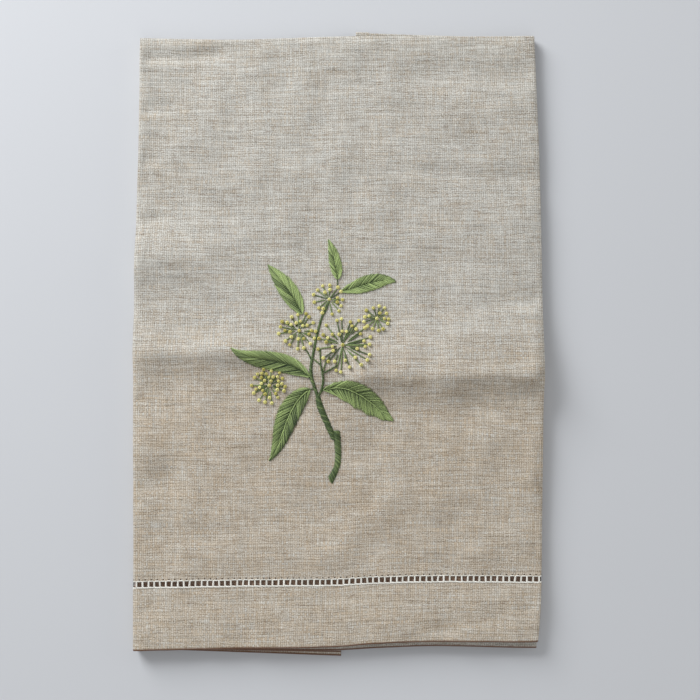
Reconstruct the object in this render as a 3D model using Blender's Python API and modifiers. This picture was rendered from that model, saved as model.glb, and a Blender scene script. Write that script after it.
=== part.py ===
"""Hand towel of linen with a wide hem at each end, folded and lying face up.

The cloth is one sheet. It is folded in half across its length, so that the back panel lies
under the front panel with the fold at the top, and then both long sides are folded behind.
That makes four layers: front panel, back panel, back panel of the flap, front panel of the
flap. The frame is +X to the right, +Y towards the folded top edge and +Z up, with the origin
under the middle of the towel. Sizes are in metres.
"""

import math

import bmesh
import bpy

# Driving sizes
CLOTH_THICKNESS = 0.0010
LAYER_GAP = 0.0004
FACE_HALF_WIDTH = 0.0899
LEFT_FLAP_WIDTH = 0.0908
RIGHT_FLAP_WIDTH = 0.0812

# Sizes that follow from them
LAYER_PITCH = CLOTH_THICKNESS + LAYER_GAP
END_FOLD_RADIUS = LAYER_PITCH / 2
SIDE_FOLD_RADIUS = LAYER_PITCH
OUTERMOST = SIDE_FOLD_RADIUS + END_FOLD_RADIUS + CLOTH_THICKNESS / 2
LOWEST_LAYER = CLOTH_THICKNESS / 2
STACK_RISE = 2 * (SIDE_FOLD_RADIUS + END_FOLD_RADIUS)

# Facets: steps over each panel and round each fold
PANEL_STEPS = 22
END_FOLD_STEPS = 4
FACE_STEPS = 18
SIDE_FOLD_STEPS = 5
LEFT_FLAP_STEPS = 9
RIGHT_FLAP_STEPS = 8

# Where the folded top edge and the two hem edges lie, at stations across the open cloth.
# A station is measured from the middle of the front, along the cloth.
#   (station, folded top, front hem, back hem)
END_EDGES = (
    (-0.1810, 0.1346, -0.1382, -0.1362),
    (-0.0899, 0.1352, -0.1350, -0.1346),
    (-0.0450, 0.1347, -0.1340, -0.1348),
    (0.0000, 0.1361, -0.1332, -0.1350),
    (0.0180, 0.1362, -0.1318, -0.1341),
    (0.0450, 0.1361, -0.1310, -0.1332),
    (0.0899, 0.1364, -0.1311, -0.1340),
    (0.1715, 0.1388, -0.1290, -0.1322),
)

# How far each side fold and each flap's free edge lies from the middle, up the towel.
#   (height, left fold, right fold, left flap's edge, right flap's edge)
SIDE_EDGES = (
    (-0.1400, -0.0893, 0.0866, 0.0014, 0.0072),
    (-0.1150, -0.0895, 0.0887, 0.0013, 0.0075),
    (-0.0600, -0.0901, 0.0902, 0.0011, 0.0080),
    (0.0000, -0.0906, 0.0908, 0.0008, 0.0083),
    (0.0620, -0.0898, 0.0905, 0.0006, 0.0081),
    (0.0850, -0.0892, 0.0900, 0.0005, 0.0080),
    (0.1400, -0.0891, 0.0882, 0.0003, 0.0079),
)

# Creases that the four layers share: a ridge where the rise is positive, else a trough.
#   (name, from x, from y, to x, to y, rise, reach above it, reach below it)
CREASES = (
    ("crown of the stack", -0.090, -0.006, 0.090, -0.012, 0.0007, 0.100, 0.080),
    ("middle ridge, left", -0.092, -0.004, -0.020, -0.006, 0.0005, 0.016, 0.012),
    ("middle ridge, right", 0.010, -0.012, 0.092, -0.014, 0.0009, 0.020, 0.012),
    ("hollow under the ridge", 0.025, -0.023, 0.092, -0.023, -0.0005, 0.010, 0.016),
    ("hollow at the right edge", 0.066, 0.072, 0.092, 0.070, -0.0005, 0.010, 0.010),
    ("right cheek", 0.070, 0.012, 0.092, -0.002, 0.0007, 0.016, 0.016),
    ("dent at the top left", -0.092, 0.112, -0.074, 0.112, -0.0005, 0.012, 0.010),
    ("upper left ridge", -0.092, 0.047, -0.055, 0.045, 0.0005, 0.010, 0.012),
    ("dent on the left", -0.092, 0.033, -0.070, 0.033, -0.0005, 0.010, 0.010),
    ("lower left dent", -0.092, -0.062, -0.070, -0.062, -0.0005, 0.012, 0.010),
    ("slanting fold", -0.006, -0.088, 0.013, -0.072, 0.0005, 0.012, 0.012),
    ("corner fold", 0.055, -0.126, 0.090, -0.112, 0.0005, 0.010, 0.012),
)

COLOUR_LINEN = (0.46, 0.43, 0.37, 1.0)
ROUGHNESS_LINEN = 0.9


def slope_at(table, column, row):
    """How fast a column of a table changes at one of its rows, from the rows beside it."""
    low, high = table[max(row - 1, 0)], table[min(row + 1, len(table) - 1)]
    return (high[column] - low[column]) / (high[0] - low[0])


def between(table, column, place):
    """Reads a column at a place, on a smooth curve through rows that go up with it."""
    place = min(max(place, table[0][0]), table[-1][0])
    row = max(i for i in range(len(table) - 1) if table[i][0] <= place)
    low, high = table[row], table[row + 1]
    step = high[0] - low[0]
    share = (place - low[0]) / step
    rise = share * share * (3 - 2 * share)
    leaving = share * (1 - share) * (1 - share) * step * slope_at(table, column, row)
    coming = share * share * (share - 1) * step * slope_at(table, column, row + 1)
    return mix(low[column], high[column], rise) + leaving + coming


def mix(low, high, share):
    return low + share * (high - low)


def crease_rise(x, y):
    """The height that the creases add at the top of the stack, over this place."""
    total = 0.0
    for _, x0, y0, x1, y1, rise, above, below in CREASES:
        run_x, run_y = x1 - x0, y1 - y0
        length = math.hypot(run_x, run_y)
        along = ((x - x0) * run_x + (y - y0) * run_y) / (length * length)
        past_end = max(0.0, -along, along - 1) * length
        across = ((y - y0) * run_x - (x - x0) * run_y) / length
        reach = above if across > 0 else below
        distance = math.hypot(across, past_end) / reach
        total += rise * math.exp(-2 * distance * distance)
    return total


def across_stations():
    """(piece of the section, share of it) from the left flap's free edge to the right's."""
    pieces = (
        ("left flap", LEFT_FLAP_STEPS),
        ("left fold", SIDE_FOLD_STEPS),
        ("face", FACE_STEPS),
        ("right fold", SIDE_FOLD_STEPS),
        ("right flap", RIGHT_FLAP_STEPS),
    )
    return stations(pieces)


def along_stations():
    """(piece of the length, share of it) from the front hem, over the top, to the back hem."""
    pieces = (
        ("front panel", PANEL_STEPS),
        ("end fold", END_FOLD_STEPS),
        ("back panel", PANEL_STEPS),
    )
    return stations(pieces)


def stations(pieces):
    found = [(pieces[0][0], 0.0)]
    for name, steps in pieces:
        found += [(name, (step + 1) / steps) for step in range(steps)]
    return found


def open_station(piece, share):
    """How far along the open cloth, from the middle of the front, a station lies."""
    fold = FACE_HALF_WIDTH
    if piece == "left flap":
        return -fold - LEFT_FLAP_WIDTH * (1 - share)
    if piece == "right flap":
        return fold + RIGHT_FLAP_WIDTH * share
    if piece == "face":
        return mix(-fold, fold, share)
    return -fold if piece == "left fold" else fold


def fold_end_over(piece, share, station):
    """(y, offset) once the cloth is folded in half: offset is + in the front panel."""
    top = between(END_EDGES, 1, station) - END_FOLD_RADIUS - CLOTH_THICKNESS / 2
    if piece == "front panel":
        return mix(between(END_EDGES, 2, station), top, share), END_FOLD_RADIUS
    if piece == "back panel":
        return mix(top, between(END_EDGES, 3, station), share), -END_FOLD_RADIUS
    angle = math.pi * share
    return top + END_FOLD_RADIUS * math.sin(angle), END_FOLD_RADIUS * math.cos(angle)


def fold_sides_behind(piece, share, y, offset):
    """(x, z) once the doubled cloth is bent round behind itself at both sides."""
    radius = SIDE_FOLD_RADIUS + offset
    middle = LOWEST_LAYER + STACK_RISE / 2
    left = between(SIDE_EDGES, 1, y) + OUTERMOST
    right = between(SIDE_EDGES, 2, y) - OUTERMOST
    if piece == "face":
        return mix(left, right, share), middle + radius
    if piece == "left flap":
        return mix(between(SIDE_EDGES, 3, y), left, share), middle - radius
    if piece == "right flap":
        return mix(right, between(SIDE_EDGES, 4, y), share), middle - radius
    if piece == "left fold":
        angle = math.pi * (1 - share)
        return left - radius * math.sin(angle), middle + radius * math.cos(angle)
    angle = math.pi * share
    return right + radius * math.sin(angle), middle + radius * math.cos(angle)


def folded_place(across, along):
    """Where a place on the open cloth lies in the folded towel."""
    y, offset = fold_end_over(*along, open_station(*across))
    x, z = fold_sides_behind(*across, y, offset)
    swell = 1 + crease_rise(x, y) / STACK_RISE
    return x, y, LOWEST_LAYER + (z - LOWEST_LAYER) * swell


def to_middle(verts):
    """The move that puts the origin under the middle of the towel.

    The folded top and the side folds stand half a thickness proud of the middle of the
    sheet, and the hems don't.
    """
    left, right = min(v.co.x for v in verts), max(v.co.x for v in verts)
    bottom, top = min(v.co.y for v in verts), max(v.co.y for v in verts) + CLOTH_THICKNESS / 2
    return -(left + right) / 2, -(bottom + top) / 2, 0.0


def build_cloth(collection):
    """Folds a flat grid into the towel and gives it its thickness."""
    across = across_stations()
    along = along_stations()
    columns, rows = len(across) - 1, len(along) - 1
    mesh = bpy.data.meshes.new("towel_cloth")
    bm = bmesh.new()
    bmesh.ops.create_grid(bm, x_segments=columns, y_segments=rows, size=0.5)
    for vert in bm.verts:
        column = round((vert.co.x + 0.5) * columns)
        row = round((vert.co.y + 0.5) * rows)
        vert.co = folded_place(across[column], along[row])
    bmesh.ops.translate(bm, verts=bm.verts, vec=to_middle(bm.verts))
    bm.to_mesh(mesh)
    bm.free()
    mesh.shade_smooth()
    cloth = bpy.data.objects.new("towel_cloth", mesh)
    collection.objects.link(cloth)
    solidify = cloth.modifiers.new("cloth thickness", "SOLIDIFY")
    solidify.thickness = CLOTH_THICKNESS
    solidify.offset = 0.0
    solidify.use_even_offset = True
    return cloth


def linen_material():
    material = bpy.data.materials.new("linen")
    material.use_nodes = True
    shader = material.node_tree.nodes["Principled BSDF"]
    shader.inputs["Base Color"].default_value = COLOUR_LINEN
    shader.inputs["Roughness"].default_value = ROUGHNESS_LINEN
    shader.inputs["Metallic"].default_value = 0.0
    return material


def main():
    for old in list(bpy.data.objects):
        bpy.data.objects.remove(old, do_unlink=True)
    collection = bpy.data.collections.new("hand towel")
    bpy.context.scene.collection.children.link(collection)
    cloth = build_cloth(collection)
    cloth.data.materials.append(linen_material())


main()
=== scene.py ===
"""Looks of a folded linen hand towel with hemstitched ends and an embroidered sprig.

The cloth, its threads and its embroidery are all laid out on the open, flat towel, and one
fold plan then carries every point to where it lies once the towel is folded. A place on the
open towel is (across, along, above): across runs from the middle of the front to the right,
along from the front hem over the folded top to the back hem, and above out of the right side
of the cloth. Sizes are in metres, and +Z is up, +Y towards the folded top edge.
"""

import logging
import math
from dataclasses import dataclass, field, fields
from enum import Enum
from typing import Any, Iterable, Sequence

import bpy
import numpy as np
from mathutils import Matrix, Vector


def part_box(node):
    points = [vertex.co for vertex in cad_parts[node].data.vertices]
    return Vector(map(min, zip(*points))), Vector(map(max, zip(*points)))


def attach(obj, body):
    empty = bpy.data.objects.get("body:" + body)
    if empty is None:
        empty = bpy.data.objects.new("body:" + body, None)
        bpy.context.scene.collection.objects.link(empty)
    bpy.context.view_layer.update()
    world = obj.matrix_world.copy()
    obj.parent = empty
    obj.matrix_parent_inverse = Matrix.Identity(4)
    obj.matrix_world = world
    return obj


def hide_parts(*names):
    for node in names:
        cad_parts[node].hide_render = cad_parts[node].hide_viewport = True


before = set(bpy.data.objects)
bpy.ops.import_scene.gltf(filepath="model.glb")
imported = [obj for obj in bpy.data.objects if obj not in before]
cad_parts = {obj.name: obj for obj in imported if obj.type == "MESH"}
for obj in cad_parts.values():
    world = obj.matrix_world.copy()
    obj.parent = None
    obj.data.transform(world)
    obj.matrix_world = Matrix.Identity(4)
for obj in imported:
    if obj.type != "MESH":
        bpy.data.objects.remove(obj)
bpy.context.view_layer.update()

CLOTH_NODE = "towel_cloth"
LOG = logging.getLogger("hand towel")

MM = 0.001
Array = np.ndarray
Chance = np.random.Generator
Triple = tuple[float, float, float]

# A crease falls away from its line over its reach, and from its ends over its mean reach.
CREASE_FALL = 2.0
CREASE_END_FALL = 1.2


def dye(red: float, green: float, blue: float) -> Triple:
    """A colour given in the 0 to 255 steps that a screen shows, made linear."""
    return tuple(((c / 255 + 0.055) / 1.055) ** 2.4 for c in (red, green, blue))


def smooth(share: Array) -> Array:
    """Eases a share from 0 to 1, and holds it there past both ends."""
    share = np.clip(share, 0.0, 1.0)
    return share * share * (3 - 2 * share)


def smooth_curve(at: Array, value: Array, place: Array) -> Array:
    """Reads a smooth curve through values, held past both ends.

    Args:
        at: where the values are, going up.
        value: the values themselves.
        place: where to read the curve.

    Returns:
        The curve's value at each place.
    """
    last = len(at) - 1
    order = np.arange(last + 1)
    before, after = np.maximum(order - 1, 0), np.minimum(order + 1, last)
    slope = (value[after] - value[before]) / (at[after] - at[before])
    place = np.clip(place, at[0], at[-1])
    row = np.clip(np.searchsorted(at, place, side="right") - 1, 0, last - 1)
    step = at[row + 1] - at[row]
    share = (place - at[row]) / step
    leaving = share * (1 - share) ** 2 * step * slope[row]
    coming = share**2 * (share - 1) * step * slope[row + 1]
    return value[row] + (value[row + 1] - value[row]) * smooth(share) + leaving + coming


def read_rows(rows: Sequence[Any], column: str, place: Array) -> Array:
    """Reads one column of a table on a smooth curve through its rows.

    Args:
        rows: dataclass rows whose first field goes up and says where each row is.
        column: the name of the field to read.
        place: where to read it, held inside the table.

    Returns:
        The column's values at those places.
    """
    key = fields(rows[0])[0].name
    at = np.array([getattr(row, key) for row in rows])
    value = np.array([getattr(row, column) for row in rows])
    return smooth_curve(at, value, place)


def unit_rows(vectors: Array) -> Array:
    """The direction of each row, with a length of 1."""
    return vectors / np.maximum(np.linalg.norm(vectors, axis=1, keepdims=True), 1e-9)


def leftward(run: Array) -> Array:
    """Each row of (across, along) turned a quarter turn to its left."""
    return np.column_stack([-run[:, 1], run[:, 0]])


def put(name: str, data: bpy.types.ID) -> bpy.types.Object:
    """Makes an object of a mesh, a lamp or a camera, and links it into the scene."""
    thing = bpy.data.objects.new(name, data)
    bpy.context.scene.collection.objects.link(thing)
    return thing


# ---- How the towel is folded ----


@dataclass(frozen=True)
class EndRow:
    """Where the folded top and the two hem edges lie, at one station across the cloth."""

    station: float
    top: float
    front_hem: float
    back_hem: float


@dataclass(frozen=True)
class SideRow:
    """Where the side folds and the flaps' free edges lie, at one height up the towel."""

    height: float
    left_fold: float
    right_fold: float
    left_edge: float
    right_edge: float


@dataclass(frozen=True)
class Crease:
    """A soft ridge, or a trough where the rise is negative, along a straight run."""

    name: str
    from_x: float
    from_y: float
    to_x: float
    to_y: float
    rise: float
    above: float
    below: float

    def rise_at(self, x: Array, y: Array) -> Array:
        """How high this crease stands.

        Args:
            x: places on the face, to the right.
            y: the same places, up the towel.

        Returns:
            The height that the crease adds at each place.
        """
        run_x, run_y = self.to_x - self.from_x, self.to_y - self.from_y
        length = math.hypot(run_x, run_y)
        along = ((x - self.from_x) * run_x + (y - self.from_y) * run_y) / length**2
        past_end = np.maximum(0.0, np.maximum(-along, along - 1)) * length
        across = ((y - self.from_y) * run_x - (x - self.from_x) * run_y) / length
        aside = across / np.where(across > 0, self.above, self.below)
        beyond = CREASE_END_FALL * past_end / (self.above + self.below)
        return self.rise * np.exp(-CREASE_FALL * (aside**2 + beyond**2))


END_ROWS = (
    EndRow(-0.1810, 0.1346, -0.1382, -0.1362),
    EndRow(-0.0899, 0.1352, -0.1350, -0.1346),
    EndRow(-0.0450, 0.1347, -0.1340, -0.1348),
    EndRow(0.0000, 0.1361, -0.1332, -0.1350),
    EndRow(0.0180, 0.1362, -0.1318, -0.1341),
    EndRow(0.0450, 0.1361, -0.1310, -0.1332),
    EndRow(0.0899, 0.1364, -0.1311, -0.1340),
    EndRow(0.1715, 0.1388, -0.1290, -0.1322),
)

SIDE_ROWS = (
    SideRow(-0.1400, -0.0893, 0.0866, 0.0014, 0.0072),
    SideRow(-0.1150, -0.0895, 0.0887, 0.0013, 0.0075),
    SideRow(-0.0600, -0.0901, 0.0902, 0.0011, 0.0080),
    SideRow(0.0000, -0.0906, 0.0908, 0.0008, 0.0083),
    SideRow(0.0620, -0.0898, 0.0905, 0.0006, 0.0081),
    SideRow(0.0850, -0.0892, 0.0900, 0.0005, 0.0080),
    SideRow(0.1400, -0.0891, 0.0882, 0.0003, 0.0079),
)

# Creases that all four layers share.
STACK_CREASES = (
    Crease("crown of the stack", -0.090, -0.006, 0.090, -0.012, 0.0007, 0.100, 0.080),
    Crease("middle ridge, left", -0.092, -0.0055, -0.034, -0.0055, 0.0018, 0.017, 0.0110),
    Crease("middle ridge, right", 0.010, -0.013, 0.092, -0.0155, 0.0015, 0.034, 0.050),
    Crease("crest of the ridge", 0.010, -0.0150, 0.092, -0.0158, 0.0031, 0.024, 0.0135),
    Crease("hollow under the ridge", 0.025, -0.026, 0.092, -0.028, -0.0004, 0.012, 0.018),
    Crease("hollow at the right edge", 0.066, 0.072, 0.092, 0.070, -0.0005, 0.010, 0.010),
    Crease("right cheek", 0.070, 0.012, 0.092, -0.002, 0.0007, 0.016, 0.016),
    Crease("dent at the top left", -0.092, 0.112, -0.074, 0.112, -0.0005, 0.012, 0.010),
    Crease("upper left ridge", -0.092, 0.0345, -0.062, 0.0360, 0.0025, 0.015, 0.019),
    Crease("dent on the left", -0.092, 0.018, -0.070, 0.018, -0.0004, 0.010, 0.010),
    Crease("upper left shoulder", -0.0905, 0.080, -0.0905, 0.124, 0.0011, 0.010, 0.011),
    Crease("lower left shoulder", -0.0905, -0.074, -0.0905, -0.045, 0.0008, 0.010, 0.011),
    Crease("lower left dent", -0.092, -0.062, -0.070, -0.062, -0.0005, 0.012, 0.010),
    Crease("slanting fold", -0.002, -0.093, 0.018, -0.075, 0.0005, 0.012, 0.012),
    Crease("corner fold", 0.055, -0.126, 0.090, -0.112, 0.0005, 0.010, 0.012),
)

# Finer creases that only the front panel has.
FACE_CREASES = (
    Crease("pressed line at the top left", -0.092, 0.1247, -0.054, 0.1270, -0.0013, 0.0055, 0.003),
    Crease("top left dent", -0.092, 0.1012, -0.077, 0.1030, -0.0013, 0.008, 0.003),
    Crease("small notch", -0.092, 0.0785, -0.084, 0.0790, -0.0011, 0.009, 0.003),
    Crease("lower notch", -0.092, 0.0515, -0.082, 0.0520, -0.0008, 0.006, 0.003),
    Crease("edge of the left ridge", -0.090, -0.0058, -0.036, -0.0062, 0.00035, 0.005, 0.004),
    Crease("edge of the right ridge", 0.012, -0.0166, 0.092, -0.0156, 0.00045, 0.006, 0.0045),
    Crease("nick under the right ridge", 0.081, -0.0245, 0.092, -0.0243, -0.0006, 0.005, 0.004),
    Crease("upper left slant", -0.088, 0.074, -0.052, 0.058, -0.0004, 0.007, 0.016),
    Crease("upper left streak", -0.088, 0.046, -0.062, 0.052, 0.0003, 0.006, 0.006),
    Crease("left nick", -0.090, 0.006, -0.082, 0.006, -0.0003, 0.004, 0.002),
    Crease("left ridge, far end", -0.060, -0.0050, -0.026, -0.0060, 0.0006, 0.010, 0.008),
    Crease("left nick under the ridge", -0.090, -0.026, -0.081, -0.026, -0.0003, 0.005, 0.003),
    Crease("lower left fold", -0.090, -0.066, -0.074, -0.062, -0.0007, 0.010, 0.005),
    Crease("dim band", -0.089, -0.083, -0.058, -0.085, -0.0003, 0.006, 0.006),
    Crease("right ridge, cheek", 0.040, 0.004, 0.092, 0.001, 0.0004, 0.012, 0.010),
    Crease("right ridge, foot", 0.028, -0.030, 0.090, -0.032, -0.0004, 0.010, 0.014),
    Crease("right line", 0.026, 0.0745, 0.090, 0.0715, -0.0005, 0.004, 0.003),
    Crease("right slant", 0.073, 0.0152, 0.092, 0.0168, -0.0010, 0.008, 0.0035),
    Crease("slant by the stem", -0.005, -0.094, 0.023, -0.069, 0.0005, 0.006, 0.012),
    Crease("soft line", 0.013, -0.049, 0.028, -0.050, -0.0003, 0.004, 0.004),
    Crease("soft line, lower", 0.032, -0.098, 0.046, -0.099, -0.0003, 0.004, 0.004),
    Crease("corner crease", 0.047, -0.1245, 0.090, -0.1150, -0.0009, 0.006, 0.007),
    Crease("hem line", -0.080, -0.115, -0.005, -0.114, -0.0002, 0.003, 0.003),
    Crease("top dip, right", 0.040, 0.1185, 0.078, 0.1190, -0.0014, 0.009, 0.009),
    Crease("top dip, middle", 0.000, 0.114, 0.033, 0.114, -0.0004, 0.007, 0.006),
)


@dataclass(frozen=True)
class FoldPlan:
    """Carries places on the open towel to where they lie in the folded one.

    The towel is folded in half across its length, and then both sides go behind. The side
    folds are flattened, the thick hems lift what lies over them, and the front panel has its
    own finer relief, which sinks a little along the open row.
    """

    face_half: float = 0.0893
    left_flap: float = 0.0876
    right_flap: float = 0.0776
    panel: float = 0.2694
    layer_pitch: float = 0.00152
    thickness: float = 0.00045
    outermost: float = 0.0011
    flatness: float = 0.26
    end_tuck: float = 0.0012
    face_lift: float = 0.0004
    fade: float = 0.0035
    hem_lift: float = 0.00078
    hem_lift_end: float = 0.056
    hem_lift_fade: float = 0.028
    side_lift: float = 0.00048
    side_lift_end: float = 0.020
    side_lift_fade: float = 0.012
    row_dip: float = 0.00085
    row_middle: float = 0.028
    row_dip_reach: float = 0.010
    ripples: int = 9
    ripple_rise: float = 0.00009
    ripple_lengths: tuple[float, float] = (0.016, 0.055)
    ripple_seed: int = 41

    @property
    def end_radius(self) -> float:
        """From the middle of the doubled cloth to the middle of one layer."""
        return self.layer_pitch / 2

    @property
    def end_turn(self) -> float:
        """How much cloth goes round the folded top."""
        return math.pi * self.end_radius

    @property
    def side_turn(self) -> float:
        """How much cloth goes round each side fold, midway between its two layers."""
        return math.pi * self.layer_pitch * math.sqrt((1 + self.flatness**2) / 2)

    @property
    def left_end(self) -> float:
        """Across, at the left flap's free edge."""
        return -(self.face_half + self.side_turn + self.left_flap)

    @property
    def right_end(self) -> float:
        """Across, at the right flap's free edge."""
        return self.face_half + self.side_turn + self.right_flap

    @property
    def length(self) -> float:
        """Along, at the back hem's edge."""
        return 2 * self.panel + self.end_turn

    @property
    def rise_to_top(self) -> float:
        """From the middle of the lowest layer to the middle of the highest."""
        return 2 * (self.layer_pitch + self.end_radius)

    def ripple(self, x: Array, y: Array) -> Array:
        """A faint unevenness of the face, the same on every run.

        Args:
            x: places on the face, to the right.
            y: the same places, up the towel.

        Returns:
            The height that it adds at each place.
        """
        draw = np.random.default_rng(self.ripple_seed)
        total = np.zeros_like(x)
        for _ in range(self.ripples):
            turn, phase = draw.uniform(0, math.pi), draw.uniform(0, 2 * math.pi)
            wave = draw.uniform(*self.ripple_lengths)
            total += np.sin((x * math.cos(turn) + y * math.sin(turn)) * 2 * math.pi / wave + phase)
        return total * self.ripple_rise

    def relief(self, x: Array, y: Array, across: Array, along: Array) -> Array:
        """How far the front panel stands above its even layer.

        Args:
            x: places on the face, to the right.
            y: the same places, up the towel.
            across: the same places on the open towel.
            along: the same places on the open towel.

        Returns:
            The height at each place, which comes down to nothing at the folds.
        """
        rise = self.face_lift + self.ripple(x, y)
        for crease in FACE_CREASES:
            rise = rise + crease.rise_at(x, y)
        sides = smooth((self.face_half - np.abs(across)) / self.fade)
        top = smooth((self.panel - along) / self.fade)
        dip = self.row_dip * np.exp(-(((along - self.row_middle) / self.row_dip_reach) ** 2))
        return (rise - dip) * sides * top

    def panel_y(self, hem: Array, top: Array, share: Array) -> Array:
        """How far up places on a panel lie, where the ends' slants fade towards its middle.

        Args:
            hem: how far up the hem's edge lies at each place.
            top: how far up the top fold lies at each place.
            share: how far the place is from the hem to the top, from 0 to 1.

        Returns:
            How far up each place lies.
        """
        hem_line = read_rows(END_ROWS, "front_hem", 0.0)
        top_line = read_rows(END_ROWS, "top", 0.0) - self.end_tuck
        share = np.clip(share, 0.0, 1.0)
        slant = (hem - hem_line) * (1 - share) ** 4 + (top - top_line) * share**4
        return hem_line + (top_line - hem_line) * share + slant

    @staticmethod
    def to_origin() -> Array:
        """From the middle of the face to the frame's origin, worked out from the CAD box."""
        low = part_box(CLOTH_NODE)[0]
        left = min(row.left_fold for row in SIDE_ROWS)
        bottom = min(min(row.front_hem, row.back_hem) for row in END_ROWS)
        return np.array([low[0] - left, low[1] - bottom, 0.0])

    def fold_end_over(self, spots: Array) -> tuple[Array, Array, Array]:
        """Folds the towel in half, with its back panel under its front panel.

        Args:
            spots: rows of (across, along, above).

        Returns:
            How far up each spot lies, how far it is above the middle of the two layers, and
            how far round the top fold it is, from 0 to pi.
        """
        across, along, above = spots.T
        top = read_rows(END_ROWS, "top", across) - self.end_tuck
        front = read_rows(END_ROWS, "front_hem", across)
        back = read_rows(END_ROWS, "back_hem", across)
        bend = np.clip((along - self.panel) / self.end_turn, 0, 1) * math.pi
        up_front = self.panel_y(front, top, along / self.panel)
        down_back = self.panel_y(back, top, (self.length - along) / self.panel)
        y = np.where(bend <= 0, up_front, np.where(bend >= math.pi, down_back, top))
        lift = self.end_radius + above
        return y + lift * np.sin(bend), lift * np.cos(bend), bend

    def fold_sides_behind(self, across: Array, y: Array, offset: Array) -> tuple[Array, Array, Array]:
        """Folds both sides of the doubled towel behind it.

        Args:
            across: places on the open towel.
            y: how far up they lie.
            offset: how far they are above the middle of the two layers.

        Returns:
            x, the height above the lowest layer, and how far round a side fold each place is,
            from 0 to pi.
        """
        left = read_rows(SIDE_ROWS, "left_fold", y) + self.outermost
        right = read_rows(SIDE_ROWS, "right_fold", y) - self.outermost
        left_edge = read_rows(SIDE_ROWS, "left_edge", y)
        right_edge = read_rows(SIDE_ROWS, "right_edge", y)
        bend = np.clip((np.abs(across) - self.face_half) / self.side_turn, 0, 1) * math.pi
        radius = self.layer_pitch + offset
        turn_at = np.where(across < 0, left, right)
        edge = np.where(across < 0, left_edge, right_edge)
        flap = np.where(across < 0, self.left_flap, self.right_flap)
        past = np.maximum(0.0, np.abs(across) - self.face_half - self.side_turn) / flap
        face = left + (right - left) * (across + self.face_half) / (2 * self.face_half)
        x = np.where(bend <= 0, face, turn_at + (edge - turn_at) * past)
        x = x + np.sign(across) * radius * np.sin(bend) * self.flatness
        return x, self.rise_to_top / 2 + radius * np.cos(bend), bend

    def foot(self, across: Array, along: Array) -> Array:
        """How high the lowest layer lies, which is more where thick hems are under it.

        Args:
            across: places on the open towel.
            along: the same places on the open towel.

        Returns:
            The height of the lowest layer's middle at each place.
        """
        from_hem = np.minimum(along, self.length - along)
        from_side = np.minimum(across - self.left_end, self.right_end - across)
        over_hem = self.hem_lift * smooth((self.hem_lift_end - from_hem) / self.hem_lift_fade)
        over_side = self.side_lift * smooth((self.side_lift_end - from_side) / self.side_lift_fade)
        return self.thickness / 2 + np.maximum(over_hem, over_side)

    def place(self, spots: Array) -> Array:
        """Where spots on the open towel lie once it is folded.

        Args:
            spots: rows of (across, along, above).

        Returns:
            Rows of (x, y, z) in the frame.
        """
        across, along = spots[:, 0], spots[:, 1]
        y, offset, end_bend = self.fold_end_over(spots)
        x, z, side_bend = self.fold_sides_behind(across, y, offset)
        on_face = (end_bend <= 0) & (side_bend <= 0)
        z = z + np.where(on_face, self.relief(x, y, across, along), 0.0)
        swell = sum(crease.rise_at(x, y) for crease in STACK_CREASES) / self.rise_to_top
        z = self.foot(across, along) + z + np.maximum(z, 0.0) * swell
        return np.column_stack([x, y, z]) + self.to_origin()


# ---- Meshes laid out on the open towel ----


@dataclass
class FlatMesh:
    """Collects points on the open towel, their faces and a value or two for each point."""

    spots: list[Array] = field(default_factory=list)
    faces: list[list[int]] = field(default_factory=list)
    values: dict[str, list[Array]] = field(default_factory=dict)
    count: int = 0

    def add(self, spots: Array, faces: Iterable[Sequence[int]], **values: Array) -> None:
        """Adds a part of the mesh.

        Args:
            spots: rows of (across, along, above).
            faces: the numbers of each face's corners, counted from 0 in these spots.
            **values: named values, one for all the spots or one for each.
        """
        self.faces += [[corner + self.count for corner in face] for face in faces]
        self.spots.append(spots)
        for name, value in values.items():
            self.values.setdefault(name, []).append(np.broadcast_to(value, len(spots)))
        self.count += len(spots)

    def build(self, name: str, plan: FoldPlan) -> bpy.types.Object:
        """Folds the collected points and makes an object of them.

        Args:
            name: the piece's name.
            plan: the fold plan that carries the points.

        Returns:
            The object, with the open towel's millimetres in its attribute "open_mm".
        """
        spots = np.concatenate(self.spots)
        mesh = bpy.data.meshes.new(name)
        mesh.from_pydata(plan.place(spots).tolist(), [], self.faces)
        cloth = mesh.attributes.new("open_mm", "FLOAT_VECTOR", "POINT")
        cloth.data.foreach_set("vector", (spots / MM).astype(np.float32).ravel())
        for key, parts in self.values.items():
            value = mesh.attributes.new(key, "FLOAT", "POINT")
            value.data.foreach_set("value", np.concatenate(parts).astype(np.float32))
        mesh.update()
        mesh.shade_smooth()
        return put(name, mesh)


@dataclass(kw_only=True)
class Needlework(FlatMesh):
    """A mesh of stitches, with the seeded chance behind the hand's small errors.

    The foot is the place on the open towel, in millimetres, from which the stitches of a sprig
    are counted.
    """

    draw: Chance
    foot: Array = field(default_factory=lambda: np.zeros(2))


def slab(upper: Array, lower: Array) -> tuple[Array, list[list[int]]]:
    """Joins two grids of points, one over the other, into one closed sheet.

    Args:
        upper: points of the upper side, by column and row.
        lower: points of the lower side, in the same order.

    Returns:
        The points and the faces that number them.
    """
    columns, rows = upper.shape[:2]
    under = columns * rows
    number = np.arange(under).reshape(columns, rows)
    corners = (number[:-1, :-1], number[1:, :-1], number[1:, 1:], number[:-1, 1:])
    top = np.stack([corner.ravel() for corner in corners], axis=1)
    bottom = top[:, ::-1] + under
    border = np.concatenate([number[:, 0], number[-1, 1:], number[-2::-1, -1], number[0, -2:0:-1]])
    after = np.roll(border, -1)
    rim = np.stack([border, border + under, after + under, after], axis=1)
    spots = np.concatenate([upper.reshape(-1, 3), lower.reshape(-1, 3)])
    return spots, np.concatenate([top, bottom, rim]).tolist()


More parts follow.
